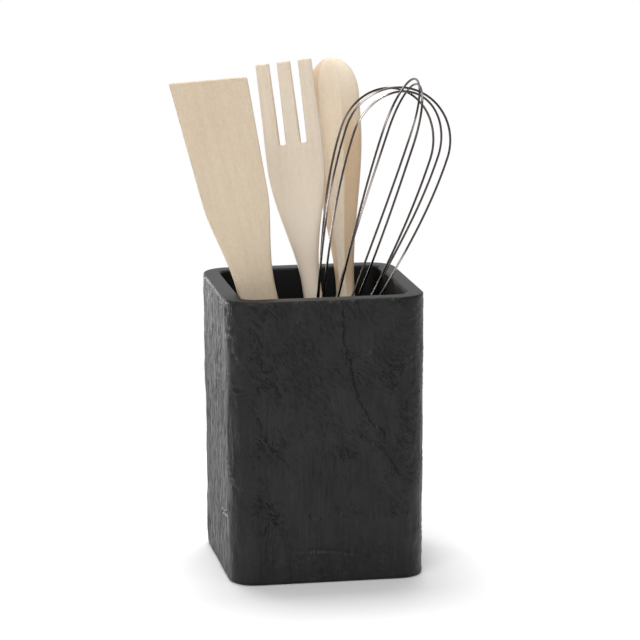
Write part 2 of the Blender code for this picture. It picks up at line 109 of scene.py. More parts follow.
class WoodSettings(bpy.types.PropertyGroup):
    """Sizes and colours of the wooden utensils."""

    spatula_length: length("Spatula length", 256.4 * MM, "Length of the spatula")
    fork_length: length("Fork length", 253.5 * MM, "Length of the fork")
    spoon_length: length("Spoon length", 260 * MM, "Length of the spoon")
    spatula_colour: colour("Spatula", (0.60, 0.495, 0.37), "Colour of the spatula's wood")
    fork_colour: colour("Fork", (0.70, 0.605, 0.495), "Colour of the fork's wood")
    spoon_colour: colour("Spoon", (0.70, 0.60, 0.475), "Colour of the spoon's wood")


class WhiskSettings(bpy.types.PropertyGroup):
    """Sizes and colours of the whisk."""

    overall: length("Length", 258.4 * MM, "Length of the whisk")
    wire: length("Wire", 1.2 * MM, "Thickness of the wire")
    radius: length("Radius", 28.1 * MM, "Half the balloon's width")
    crown: length("Crown", 29.1 * MM, "Height of the balloon's rounded top")
    handle: length("Handle length", 84 * MM, "Length of the handle with its end cap")
    handle_width: length("Handle width", 12 * MM, "Thickness of the handle")
    # The steel colour is also the colour of the wire's painted highlights
    steel: colour("Steel", (0.50, 0.45, 0.43), "Colour of the handle and of the wire's bright parts")
    # The wire's colour is painted far darker than steel: painted dark reflection of the surroundings
    wire_steel: colour("Wire steel", (0.09, 0.077, 0.073), "Colour of the wire")


class StageSettings(bpy.types.PropertyGroup):
    """The light from all round and the lamps."""

    ambient: bpy.props.FloatProperty(
        name="Ambient", description="Strength of the light from all round", default=0.45, min=0.0
    )
    reflected: share("Front reflection", 0.45, "How bright the camera's side is in a reflection")
    key: lamp_power("Key lamp", 7.5, "Power of the large lamp on the left")
    top: lamp_power("Top lamp", 19.0, "Power of the lamp above and behind")
    side: lamp_power("Side lamp", 4.2, "Power of the low lamp behind and left")
    fill: lamp_power("Fill lamp", 5.5, "Power of the low lamp in front")


# Surfaces

def ease(value):
    """0 below 0, 1 above 1, and the smooth step 3t^2 - 2t^3 between."""
    value = np.clip(value, 0.0, 1.0)
    return value * value * (3 - 2 * value)


def mix(start, end, part):
    """start where part is 0, end where it is 1, and a straight line between."""
    return start + (end - start) * part


def drawn_in(half, distance, radius):
    """half, less what a quarter circle of that radius takes off within radius of an end."""
    inside = np.clip(radius - distance, 0.0, radius)
    return half - radius + np.sqrt(np.clip(radius * radius - inside * inside, 0.0, None))


def outline_course(straights, arc):
    """A rounded rectangle's points: each one's share of the half sides and its heading.

    A point lies at share * (half side - corner) + corner * (cos heading, sin heading). The share is
    constant round a corner's arc, and the heading along a straight side. straights gives the number
    of points along the back, left, front and right sides, and arc the number round a corner.
    """
    signs = np.array([(1, 1), (-1, 1), (-1, -1), (1, -1)], float)
    shares, headings = [], []
    for quarter, straight in enumerate(straights):
        start, end = signs[quarter], signs[(quarter + 1) % 4]
        shares.append(np.repeat(start[None], arc, axis=0))
        headings.append((quarter + np.arange(arc) / arc) * math.pi / 2)
        shares.append(start + np.arange(straight)[:, None] / straight * (end - start))
        headings.append(np.full(straight, (quarter + 1) * math.pi / 2))
    return np.concatenate(shares), np.concatenate(headings)


def outline_rings(course, half_x, half_y, corner):
    """x and y of a rounded rectangle for each ring, as arrays of rings by points."""
    shares, headings = course
    x = shares[:, 0] * (half_x - corner)[:, None] + corner[:, None] * np.cos(headings)
    y = shares[:, 1] * (half_y - corner)[:, None] + corner[:, None] * np.sin(headings)
    return x, y


def quads(rows, columns, closed=True):
    """The faces of a grid of points, its columns joined into rings where it is closed."""
    start = np.arange(rows - 1)[:, None] * columns
    step = np.arange(columns if closed else columns - 1)[None, :]
    after = (step + 1) % columns
    corners = [start + step, start + after, start + after + columns, start + step + columns]
    return np.stack(corners, axis=-1).reshape(-1, 4)


def make_piece(name, points, faces, attributes=None, flat=()):
    """A mesh object at the origin from points and faces, with its point attributes.

    An attribute is an array of one number or three numbers for each point. The faces named in flat
    are shaded flat, and the rest smooth.
    """
    mesh = bpy.data.meshes.new(name)
    mesh.from_pydata(points.reshape(-1, 3).tolist(), [], [list(face) for face in faces])
    smooth = np.ones(len(mesh.polygons), bool)
    smooth[list(flat)] = False
    mesh.polygons.foreach_set("use_smooth", smooth)
    for label, values in (attributes or {}).items():
        values = np.asarray(values, np.float32)
        if values.size == 3 * len(mesh.vertices):
            made = mesh.attributes.new(label, "FLOAT_VECTOR", "POINT")
            made.data.foreach_set("vector", values.ravel())
        else:
            made = mesh.attributes.new(label, "FLOAT", "POINT")
            made.data.foreach_set("value", values.ravel())
    mesh.update()
    piece = bpy.data.objects.new(name, mesh)
    bpy.context.scene.collection.objects.link(piece)
    return piece


def ring_piece(name, points, attributes=None):
    """A closed piece from rings of points, its two end rings closed by flat faces."""
    rows, columns = points.shape[:2]
    faces = quads(rows, columns).tolist()
    faces.append(list(range(columns))[::-1])
    faces.append(list(range((rows - 1) * columns, rows * columns)))
    return make_piece(name, points, faces, attributes, flat=(-1, -2))


def weld(piece, distance):
    """Join the points that lie within distance of each other, and turn every face outwards."""
    shape = bmesh.new()
    shape.from_mesh(piece.data)
    bmesh.ops.remove_doubles(shape, verts=shape.verts, dist=distance)
    bmesh.ops.recalc_face_normals(shape, faces=shape.faces)
    shape.to_mesh(piece.data)
    shape.free()


def waves(points, size, count, seed):
    """Smooth noise of about unit height: the sum of cosines whose wave vectors are drawn at random.

    size gives the wavelength along X, Y and Z, so that a long one stretches the noise that way.
    """
    draw = np.random.default_rng(seed)
    vectors = draw.normal(size=(count, 3)) * (2 * math.pi / np.array(size))
    phases = draw.uniform(0, 2 * math.pi, count)
    total = np.zeros(points.shape[:-1])
    for vector, phase in zip(vectors, phases):
        total += np.cos(points @ vector + phase)
    return total * math.sqrt(2 / count)


def stand(foot, up, turn):
    """The 4x4 place of a stand: Z along up, turned about it by radians, its origin at the foot.

    The lean from Z to up is the rotation I + K + K^2 / (1 + up z), where K is the cross product with
    Z x up.
    """
    up = np.array(up, float) / np.linalg.norm(up)
    axis = np.cross((0, 0, 1), up)
    cross = np.array([
        (0, -axis[2], axis[1]), (axis[2], 0, -axis[0]), (-axis[1], axis[0], 0)
    ])
    lean = np.eye(3) + cross + cross @ cross / (1 + up[2])
    c, s = math.cos(turn), math.sin(turn)
    place = np.eye(4)
    place[:3, :3] = lean @ np.array([(c, -s, 0), (s, c, 0), (0, 0, 1)])
    place[:3, 3] = foot
    return place


def carried(points, place, foot_round):
    """Upright points moved to a stand whose origin is the centre of the foot's arc."""
    local = points - np.array((0, 0, foot_round))
    return local @ place[:3, :3].T + place[:3, 3]


def stood_piece(name, points, place, foot_round, **attributes):
    """A closed piece from upright rings, carried to its stand.

    It keeps its upright coordinates as a point attribute, because its finish is read there.
    """
    placed = carried(points, place, foot_round)
    return ring_piece(name, placed, {"upright": points, **attributes})


# Shader nodes

# A Mix node's colour sockets, by number because its other kinds of socket have the same names
MIX_FIRST, MIX_SECOND, MIX_RESULT = 6, 7, 2


class Value:
    """A shader socket that arithmetic works on: each operation adds a Math node."""

    def __init__(self, nodes, socket):
        self.nodes = nodes
        self.socket = socket

    def math(self, operation, first, second):
        """One Math node on values or numbers."""
        return self.nodes.node("ShaderNodeMath", {"operation": operation}, {0: first, 1: second})

    def __add__(self, other):
        return self.math("ADD", self, other)

    __radd__ = __add__

    def __sub__(self, other):
        return self.math("SUBTRACT", self, other)

    def __rsub__(self, other):
        return self.math("SUBTRACT", other, self)

    def __mul__(self, other):
        return self.math("MULTIPLY", self, other)

    __rmul__ = __mul__

    def step(self, low, high, start=0.0, end=1.0):
        """start below low, end above high, and a smooth step between."""
        return self.nodes.node(
            "ShaderNodeMapRange", {"interpolation_type": "SMOOTHSTEP", "clamp": True},
            {"Value": self, "From Min": low, "From Max": high, "To Min": start, "To Max": end}
        )


class Nodes:
    """A node tree being filled."""

    def __init__(self, tree):
        self.tree = tree

    def feed(self, socket, value):
        """Set a socket to a number or colour, or link a value to it."""
        if isinstance(value, Value):
            self.tree.links.new(value.socket, socket)
        elif isinstance(value, (tuple, list)) and len(value) == 3 and socket.type == "RGBA":
            socket.default_value = (*value, 1.0)
        else:
            socket.default_value = value

    def node(self, kind, settings=None, sockets=None, output=0):
        """Add a node: its settings first, then its sockets. Returns one output as a Value."""
        made = self.tree.nodes.new(kind)
        for name, value in (settings or {}).items():
            setattr(made, name, value)
        for name, value in (sockets or {}).items():
            self.feed(made.inputs[name], value)
        return Value(self, made.outputs[output])


class Finish(Nodes):
    """A material being made, with its Principled shader."""

    def __init__(self, name):
        self.material = bpy.data.materials.new(name)
        self.material.use_nodes = True
        super().__init__(self.material.node_tree)
        self.shader = self.tree.nodes["Principled BSDF"]

    def place(self):
        """Object coordinates, in metres."""
        return self.node("ShaderNodeTexCoord", output="Object")

    def attribute(self, name, output="Fac"):
        """A point attribute of the piece, 0 where the piece has none of that name."""
        return self.node("ShaderNodeAttribute", {"attribute_name": name}, output=output)

    def stretched(self, vector, scale):
        """A vector with each part multiplied by its own scale."""
        return self.node(
            "ShaderNodeVectorMath", {"operation": "MULTIPLY"}, {0: vector, 1: scale}
        )

    def shifted(self, vector, other, amount):
        """A vector moved by another one times an amount."""
        return self.node(
            "ShaderNodeVectorMath", {"operation": "MULTIPLY_ADD"},
            {0: other, 1: (amount, amount, amount), 2: vector}
        )

    def noise(self, vector, scale, detail=2.0, roughness=0.5, output="Fac"):
        """Noise from 0 to 1 with a mean of a half. scale is in cells per metre along each axis."""
        return self.node(
            "ShaderNodeTexNoise", {},
            {"Vector": self.stretched(vector, scale), "Scale": 1.0, "Detail": detail,
             "Roughness": roughness}, output
        )

    def blend(self, factor, first, second):
        """Two colours mixed by a factor."""
        return self.node(
            "ShaderNodeMix", {"data_type": "RGBA"},
            {"Factor": factor, MIX_FIRST: first, MIX_SECOND: second}, MIX_RESULT
        )

    def bump(self, height, distance, normal=None):
        """A Bump node for a height from 0 to 1, that deep in metres, over another one's normal."""
        sockets = {"Height": height, "Distance": distance, "Strength": 1.0}
        if normal is not None:
            sockets["Normal"] = normal
        return self.node("ShaderNodeBump", {}, sockets)

    def set(self, **values):
        """Set the Principled shader's sockets by name, an underscore for a space."""
        for name, value in values.items():
            self.feed(self.shader.inputs[name.replace("_", " ")], value)
        return self.material


def tinted(tone, shares):
    """A colour with each part multiplied by its own share, and none above 1."""
    return tuple(min(1.0, part * by) for part, by in zip(tone, shares))


def slate_finish(settings):
    """Split slate outside and smooth satin resin on the rim and inside, by the slate attribute.

    The stone's marks stand upright, and slant down to the right in the patches that the slanted
    attribute gives, where they are read at the wall laid out flat.
    """
    finish = Finish("slate_resin")
    place = finish.place()
    slate = finish.attribute("slate")
    patch = finish.attribute("slanted")
    warp = finish.noise(place, (60, 60, 25), 3.0, output="Color")
    bent = finish.shifted(place, warp, 6 * MM)
    flat = finish.shifted(finish.attribute("unrolled", "Vector"), warp, 2 * MM)
    slant = finish.node(
        "ShaderNodeVectorRotate", {"rotation_type": "Y_AXIS"}, {"Vector": flat, "Angle": 0.8}
    )
    streaks = finish.noise(bent, (620, 620, 45), 3.0, 0.6)
    strokes = finish.noise(slant, (760, 760, 220), 3.0, 0.6)
    marks = streaks * (1 - patch) + strokes * patch
    upright_flakes = finish.noise(bent, (330, 330, 60), 3.0, 0.6).step(0.52, 0.6)
    slant_flakes = finish.noise(slant, (540, 540, 180), 3.0, 0.6).step(0.5, 0.6)
    flakes = upright_flakes * (1 - patch) * 0.5 + slant_flakes * patch * 0.85
    plates = finish.noise(bent, (62, 62, 26), 4.0, 0.55).step(0.47, 0.53)
    busy = finish.noise(place, (34, 34, 26), 1.5).step(0.45, 0.62)
    grit = finish.noise(place, (2400, 2400, 700), 2.0, 0.6)
    fine = finish.noise(place, (5200, 5200, 5200), 1.0)
    cloud = finish.noise(bent, (90, 90, 45), 3.0, 0.55)
    tone = cloud.step(0.3, 0.7) * 0.5 + marks.step(0.3, 0.75) * 0.5
    stone = finish.blend(tone, tinted(settings.slate, [0.6] * 3), tinted(settings.slate, [1.5] * 3))
    smooth = finish.blend(cloud, tuple(settings.smooth), tinted(settings.smooth, [1.08] * 3))
    height = plates * 0.2 + flakes * (0.42 * busy + 0.25 * patch) + grit * 0.03
    height = height + marks * (0.14 + 0.26 * busy + 0.12 * patch)
    rough = slate * (0.31 + 0.15 * (1 - tone)) + (1 - slate) * (0.48 + 0.05 * fine)
    coarse = finish.bump(height * slate, 1.3 * MM)
    return finish.set(
        Base_Color=finish.blend(slate, smooth, stone), Roughness=rough,
        Normal=finish.bump(fine, 0.015 * MM, coarse), Specular_IOR_Level=0.25
    )


def foam_finish():
    """Matt black foam of small closed cells."""
    finish = Finish("pad_foam")
    place = finish.stretched(finish.place(), (1400, 1400, 1400))
    cells = finish.node("ShaderNodeTexVoronoi", {}, {"Vector": place, "Scale": 1.0}, "Distance")
    return finish.set(
        Base_Color=finish.blend(cells, (0.008, 0.008, 0.008), (0.022, 0.022, 0.022)),
        Roughness=0.85 + 0.1 * cells, Normal=finish.bump(cells, 0.2 * MM)
    )


def wood_finish(name, tone, seed, painted_handle_light=0.0):
    """Pale beech along the piece: soft bands, fine fibre, saw marks and short dark flecks.

    It is read at the piece's own upright coordinates, its length along Z, and is darker and warmer
    by the edge attribute, which is painted shade. The last argument is how much lighter the handle
    below the head is painted: painted light, not the wood's own tone.
    """
    finish = Finish(name)
    upright = finish.attribute("upright", "Vector")
    place = finish.node(
        "ShaderNodeVectorMath", {"operation": "ADD"},
        {0: upright, 1: (0.11 * seed, 0.07 * seed, seed)}
    )
    warp = finish.noise(place, (40, 40, 9), output="Color")
    bent = finish.shifted(place, warp, 6 * MM)
    bands = finish.noise(bent, (230, 230, 7), 3.0, 0.55)
    fibre = finish.noise(bent, (2300, 2300, 60), 4.0, 0.65)
    cloud = finish.noise(place, (45, 45, 18), 3.0)
    flecks = finish.noise(bent, (2600, 2600, 330), 1.0).step(0.62, 0.74)
    mottle = finish.noise(bent, (900, 900, 420), 2.0, 0.6)
    saw_marks = finish.noise(bent, (420, 420, 1500), 2.0, 0.6)
    grain = bands.step(0.3, 0.7) * 0.25 + fibre.step(0.3, 0.7) * 0.25
    grain = grain + cloud.step(0.3, 0.7) * 0.15 + mottle.step(0.3, 0.7) * 0.2
    grain = grain + saw_marks.step(0.35, 0.65) * 0.15
    body = finish.blend(grain, tinted(tone, (1.07, 1.085, 1.10)), tinted(tone, (0.90, 0.87, 0.82)))
    body = finish.blend(flecks * 0.35, body, tinted(tone, (0.84, 0.77, 0.68)))
    # Painted shade: where the edge attribute marks the spoon's bevels, the wood is darker and warmer
    painted_shade_tone = tinted(tone, (0.77, 0.61, 0.45))
    body = finish.blend(finish.attribute("edge") * 0.8, body, painted_shade_tone)
    # Painted light: the handle below the head is lightened, standing in for lamp light that the neck
    # lacks
    if painted_handle_light:
        rise = finish.node("ShaderNodeSeparateXYZ", {}, {0: upright}, "Z")
        painted_light_tone = tinted(tone, (1.32, 1.33, 1.34))
        body = finish.blend((1 - rise.step(0.15, 0.21)) * painted_handle_light, body, painted_light_tone)
    height = fibre * 0.5 + 0.3 * bands + 0.8 * saw_marks * cloud.step(0.4, 0.6) - flecks * 0.3
    return finish.set(
        Base_Color=body, Roughness=0.56 + 0.12 * fibre, Normal=finish.bump(height, 0.18 * MM),
        Specular_IOR_Level=0.4
    )


def steel_finish(name, tone, bright, along):
    """Drawn steel: faint streaks along the wire or round the tube, and brighter stretches that are
    painted highlights.

    along is the scale of the streaks in the piece's own upright coordinates.
    """
    finish = Finish(name)
    place = finish.attribute("upright", "Vector")
    streaks = finish.noise(place, along, 3.0, 0.6)
    smudge = finish.noise(place, (90, 90, 60))
    # Painted highlights: stretches of the piece take the bright colour, standing in for glints
    painted_highlight = finish.noise(place, (70, 70, 16), 1.0).step(0.56, 0.68)
    steel = finish.blend(streaks, tinted(tone, [0.86] * 3), tuple(tone))
    return finish.set(
        Base_Color=finish.blend(painted_highlight, steel, tuple(bright)), Metallic=1.0,
        Roughness=0.12 + 0.08 * streaks + 0.08 * smudge, Normal=finish.bump(streaks, 0.01 * MM)
    )


def plug_finish():
    """Black potting compound with a slightly uneven skin."""
    finish = Finish("plug_plastic")
    skin = finish.noise(finish.attribute("upright", "Vector"), (900, 900, 900))
    return finish.set(
        Base_Color=finish.blend(skin, (0.03, 0.03, 0.03), (0.06, 0.06, 0.06)),
        Roughness=0.38 + 0.2 * skin, Normal=finish.bump(skin, 0.08 * MM)
    )


def dress(piece, material, body, slot, *nodes):
    """Give a piece its material, carry it on its body and let it stand for its CAD nodes."""
    piece.data.materials.append(material)
    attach(piece, body)
    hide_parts(*nodes)


# The pot

# The number of points along the back, left, front and right sides, round each upright corner, up
# the outer wall, round each edge and down the inner wall
SIDE_POINTS = (70, 80, 170, 70)
CORNER_POINTS, WALL_ROWS, EDGE_ROWS, INNER_ROWS = 12, 186, 7, 8

# The headings of the pot's faces in degrees
RIGHT, BACK, LEFT, FRONT = 0, 90, 180, 270

# The relief's noises: wavelengths along X, Y and Z in millimetres, number of waves and seed
RELIEF_NOISES = {
    "bulge": ((48, 48, 60), 24, 3),
    "upright strokes": ((2.5, 2.5, 17), 70, 11),
    "slanted strokes": ((2.6, 2.6, 11), 70, 12),
    "chips": ((2.4, 3.0, 5.5), 70, 13),
    "slanted patches": ((36, 36, 40), 24, 14),
    "busy patches": ((22, 22, 26), 30, 19),
    "plates": ((15, 15, 34), 40, 15),
    "wander": ((6, 6, 9), 24, 16),
    "left streaks": ((2.4, 2.4, 44), 70, 21),
}

# Splits in the slate on the front face: points in X and Z, a groove's half-width in millimetres and
# its depth as a share of the relief's
FRONT_SPLITS = (
    (((6.7, 150), (6.9, 138), (7.3, 128), (10.7, 115.8), (13.6, 103.6), (17.8, 91.3),
      (23.7, 83.8), (28.4, 79.9), (29.2, 74.5)), 0.42, 0.95),
    (((16.3, 79.2), (23.7, 73.1), (28.6, 69.8), (32.1, 64.2), (35.8, 57.6), (40, 53.7)),
     0.42, 0.95),
    (((-49.5, 112.6), (-46, 102.6), (-39.6, 97.6), (-36.9, 88), (-35.1, 79.5), (-30.2, 72.9),
      (-22.5, 65.2), (-19.9, 61.3)), 0.42, 1.0),
    (((-18.6, 17.1), (-4.4, 17.4), (7.7, 15.7), (12.7, 13.8)), 0.6, 0.5),
    (((-32.6, 40.2), (-25.9, 30.8)), 0.55, 0.6),
    (((0.4, 43.3), (4.0, 38.5), (8.3, 36.0)), 0.55, 0.6),
)
# The same on the left face, as Y and Z
LEFT_SPLITS = (
    (((-39.8, 150), (-41.5, 138), (-45.1, 124.4), (-50.5, 111.0)), 0.8, 1.0),
    (((-16.8, 33.0), (-28.0, 33.6), (-38.6, 36.2)), 0.6, 1.3),
    (((-37.0, 66), (-41.0, 60.1), (-47.0, 50), (-51.0, 40)), 0.8, 0.75),
)
# The splits of the other faces: a face, some of the splits above, 1 or -1 for mirrored ones, and how
# far they move along the face in millimetres
REPEATED_SPLITS = (
    (BACK, LEFT_SPLITS, -1, -12),
    (BACK, FRONT_SPLITS[:1], 1, 20),
    (BACK, FRONT_SPLITS[2:3], 1, -10),
    (RIGHT, FRONT_SPLITS[:2], -1, 6),
    (RIGHT, LEFT_SPLITS[1:2], 1, -12),
)


def split_height(across, height, splits):
    """Grooves along broken lines, each the edge of a raised layer, in units of the relief's depth.

    For a signed distance s from a line and a half-width w the height is -exp(-(s/w)^2), and on the
    raised side also a lip of 0.75 exp(-((s-1.7w)/w)^2) and a layer of 0.35 exp(-(s/16w)^2). Each
    line fades out over its last 4 mm.
    """
    total = np.zeros_like(across)
    for line, width, depth in splits:
        nearest = np.full_like(across, np.inf)
        side = np.zeros_like(across)
        for (x0, z0), (x1, z1) in zip(line, line[1:]):
            run, rise = x1 - x0, z1 - z0
            span = math.hypot(run, rise)
            part = ((across - x0) * run + (height - z0) * rise) / span ** 2
            part = np.clip(part, 0, 1)
            off = np.hypot(across - x0 - part * run, height - z0 - part * rise)
            turned = ((across - x0) * rise - (height - z0) * run) / span
            side = np.where(off < nearest, np.sign(turned), side)
            nearest = np.minimum(nearest, off)
        signed = nearest * side
        ends = np.minimum(np.hypot(across - line[0][0], height - line[0][1]),
                          np.hypot(across - line[-1][0], height - line[-1][1]))
        fade = ease(ends / 4 + 0.15) * depth
        lip = 0.75 * np.exp(-((signed - 1.7 * width) / width) ** 2)
        layer = 0.35 * ease(signed / (2 * width)) * np.exp(-(signed / (16 * width)) ** 2)
        total += fade * (lip + layer - np.exp(-(signed / width) ** 2))
    return total


def slanted(points, degrees):
    """Points turned about Y, so that noise that is long in Z runs down to the right by degrees."""
    c, s = math.cos(math.radians(degrees)), math.sin(math.radians(degrees))
    x, z = points[..., 0], points[..., 2]
    return np.stack([c * x + s * z, points[..., 1], c * z - s * x], axis=-1)


def unrolled(points, wall_top):
    """The wall's points laid out flat: the distance round the wall's top row, zero and Z.

    It starts and ends at the back right corner.
    """
    top = points[wall_top]
    steps = np.linalg.norm(np.diff(top[:, :2], axis=0, prepend=top[:1, :2]), axis=1)
    around = np.broadcast_to(np.cumsum(steps), points.shape[:2])
    return np.stack([around, np.zeros_like(around), points[..., 2]], axis=-1)


def on_face(facing, face, spread=45):
    """How much a heading belongs to a face: 0 from 90 degrees off it, and easing to 1 by spread."""
    off = np.abs((facing - face + 180) % 360 - 180)
    return ease((90 - off) / spread)


def slate_relief(points, headings, wall_top):
    """How far the slate stands proud of the plain wall, and how much its strokes slant.

    The first is in units of the relief's depth. It is a sum of slow bulges, flakes in short strokes,
    chips, plates, streaks on the left face, and the splits. Strokes are upright, and slanted in
    patches. A flake or plate is the smooth step of 0.5 + noise, so that it has a flat top.
    """
    mm = points / MM
    flat = unrolled(points, wall_top) / MM
    x, y, z = mm[..., 0], mm[..., 1], mm[..., 2]
    stroke_slant, chip_slant, seam_reach = 38, 60, 9
    patch_middle, patch_reach = 88, 60

    def noise(name, place=mm):
        """One of the relief's noises, at places in millimetres."""
        return waves(place, *RELIEF_NOISES[name])

    facing = np.degrees(headings) % 360
    left = on_face(facing, LEFT)
    around = flat[..., 0]
    seam = ease(np.minimum(around, around.max() - around) / seam_reach)
    upright_strokes = noise("upright strokes")
    slanted_strokes = noise("slanted strokes", slanted(flat, stroke_slant))
    patch = ease(0.5 + 1.1 * noise("slanted patches") + (z - patch_middle) / patch_reach)
    patch = patch * (1 - left) * seam
    busy = 0.35 + 0.65 * ease(0.55 + noise("busy patches"))
    busy = busy * (1 - 0.4 * on_face(facing, RIGHT, 60))
    flakes = ease(0.5 + 0.6 * mix(upright_strokes, slanted_strokes, patch))
    chips = noise("chips", slanted(flat, chip_slant))
    relief = 0.10 * noise("bulge") + 0.36 * busy * flakes * (1 - 0.45 * left)
    relief += 0.14 * busy * chips * seam * (1 - 0.8 * left)
    relief += 0.16 * ease(0.5 + 2.4 * (noise("plates") + 0.25 * upright_strokes))
    relief += left * 0.32 * ease(0.5 + 0.8 * noise("left streaks"))
    wander = 0.5 * noise("wander")
    relief += on_face(facing, FRONT) * split_height(x + wander, z, FRONT_SPLITS)
    relief += left * split_height(y + 0.4 * wander, z, LEFT_SPLITS)
    for face, splits, mirror, shift in REPEATED_SPLITS:
        along = x if face == BACK else y
        along = mirror * along + shift + wander
        relief += on_face(facing, face) * split_height(along, z, splits)
    return relief, patch


def pot_points(settings):
    """The pot's rings from the pad's recess, up the outer wall, over the rim and down to the floor.

    A ring is a rounded square at an inset and a height. Each edge is a quarter circle, and the
    relief pushes the outer wall's points outwards. Returns the points and their attributes: how much
    a point belongs to the slate, how much the strokes slant there, and its place laid out flat.
    """
    half, edge, foot, lip = settings.width / 2, settings.edge, settings.base_edge, settings.rim_edge
    base, rim, wall, floor = settings.base, settings.rim, settings.wall, settings.floor
    turn = np.radians(np.linspace(0, 90, EDGE_ROWS))
    rise, run = np.sin(turn), 1 - np.cos(turn)
    climb = np.linspace(0, 1, WALL_ROWS + 2)[1:-1]
    sink = np.linspace(rim - edge, floor + edge, INNER_ROWS + 2)[1:-1]
    outer = (
        (np.full(2, settings.recess_inset), np.array([settings.recess, base])),
        (settings.draft + foot * (1 - rise), base + foot * run),
        (settings.draft * (1 - climb), mix(base + foot, rim - lip, climb)),
        (lip * run, rim - lip * (1 - rise)),
    )
    inner = (
        (wall - edge * (1 - rise), rim - edge * run),
        (np.full(INNER_ROWS, wall), sink),
        (wall + edge * run, floor + edge * (1 - rise)),
    )
    inset, height = (np.concatenate(parts) for parts in zip(*outer, *inner))
    inner_rows = 2 * EDGE_ROWS + INNER_ROWS
    inside = np.arange(len(inset)) >= len(inset) - inner_rows
    wall_top = len(inset) - inner_rows - EDGE_ROWS - 1
    corner = np.where(inside, settings.inner_corner + wall, settings.outer_corner) - inset
    course = outline_course(SIDE_POINTS, CORNER_POINTS)
    headings = course[1]
    x, y = outline_rings(course, half - inset, half - inset, corner)
    points = np.stack([x, y, np.broadcast_to(height[:, None], x.shape)], axis=-1)
    rim_fade = 1.2 * MM
    slate = np.where(inside, 0.0, ease((rim - 0.4 * lip - height) / rim_fade))
    slate = slate * ease((height - base) / edge)
    slate[0] = 0.0        # the recess's ceiling
    slate = np.broadcast_to(slate[:, None], x.shape)
    relief, slanted_share = slate_relief(points, headings, wall_top)
    push = relief * settings.relief * slate
    points[..., 0] += push * np.cos(headings)
    points[..., 1] += push * np.sin(headings)
    flat = unrolled(points, wall_top)
    return points, {"slate": slate, "slanted": slanted_share, "unrolled": flat}


class UTENSILHOLDER_OT_pot(bpy.types.Operator):
    """Build the pot: slate relief outside, a smooth rim and a smooth inside, and its foam pad"""

    bl_idname = "utensil_holder.pot"
    bl_label = "Pot"

    def execute(self, context):
        settings = context.scene.utensil_pot
        pot = ring_piece("slate_pot", *pot_points(settings))
        dress(pot, slate_finish(settings), "holder", "slate_resin", "holder_body")
        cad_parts["base_pad"].material_slots[0].material = foam_finish()
        return {"FINISHED"}


# The wooden utensils

# Where each utensil stands: the centre of its foot's arc, the way it leans and its turn in radians
SPATULA_STAND = stand((-4.9 * MM, -25 * MM, 21.35 * MM), (-0.21417, 0, 0.976796), 0.0)
FORK_STAND = stand((19.6 * MM, 22 * MM, 15.2 * MM), (-0.102727, 0.117414, 0.987756), -0.2618)
SPOON_STAND = stand((25.2 * MM, -2.4 * MM, 15.1 * MM), (-0.006703, 0.287998, 0.957608), -0.45379)
WHISK_STAND = stand((-22.5 * MM, 5 * MM, 16.1 * MM), (0.3199, 0, 0.947451), -0.13963)

# The radius of each wooden utensil's foot
SPATULA_FOOT, FORK_FOOT, SPOON_FOOT = 11.25 * MM, 5.1 * MM, 5.0 * MM

# The number of rows between a utensil's rounded ends
LENGTH_ROWS = 170


def end_steps(overall, foot_round, tip_round):
    """Distances from the foot: close together round each end and even between."""
    arc = 1 - np.cos(np.radians(np.linspace(4, 90, 12)))
    middle = np.linspace(foot_round, overall - tip_round, LENGTH_ROWS)
    return np.concatenate([foot_round * arc[:-1], middle, overall - tip_round * arc[:-1][::-1]])


def spatula_points(overall):
    """The spatula's rings, which are rounded rectangles, from the foot to the tip.

    The blade narrows evenly from its tip, eases in over the shoulder to the neck, and the handle
    widens evenly to its half-round foot. The thickness eases from the handle's to the tip's over the
    blade, and the tip drops evenly from one side to the other.
    """
    blade, shoulder, tip_round = 62 * MM, 52 * MM, 1.2 * MM
    tip_width, blade_width, neck_width = 40.0 * MM, 34.2 * MM, 19.8 * MM
    tip_thick, handle_thick, tip_drop = 2.6 * MM, 5.5 * MM, 6.2 * MM
    tip_soft, foot_soft = 0.7 * MM, 2.7 * MM
    blade_edge, handle_edge = 1.0 * MM, 2.0 * MM
    along = end_steps(overall, SPATULA_FOOT, tip_round)
    from_tip = overall - along
    to_foot = np.clip((from_tip - blade - shoulder) / (overall - blade - shoulder), 0, 1)
    drawn = ease((from_tip - blade) / shoulder)
    half = mix(tip_width, blade_width, from_tip / blade) / 2
    half = mix(half, mix(neck_width / 2, SPATULA_FOOT, to_foot), drawn)
    half = drawn_in(half, from_tip, tip_round)
    half = drawn_in(half, along, SPATULA_FOOT)
    thick = mix(tip_thick, handle_thick, ease(from_tip / blade)) / 2
    thick = drawn_in(thick, from_tip, tip_soft)
    thick = drawn_in(thick, along, foot_soft)
    edge = np.minimum(mix(blade_edge, handle_edge, drawn), 0.92 * np.minimum(thick, half))
    x, y = outline_rings(outline_course((16, 4, 16, 4), 8), half, thick, edge)
    slope = tip_drop / tip_width * (1 - ease(from_tip / blade))
    z = along[:, None] - slope[:, None] * x
    return np.stack([x, y, z], axis=-1)


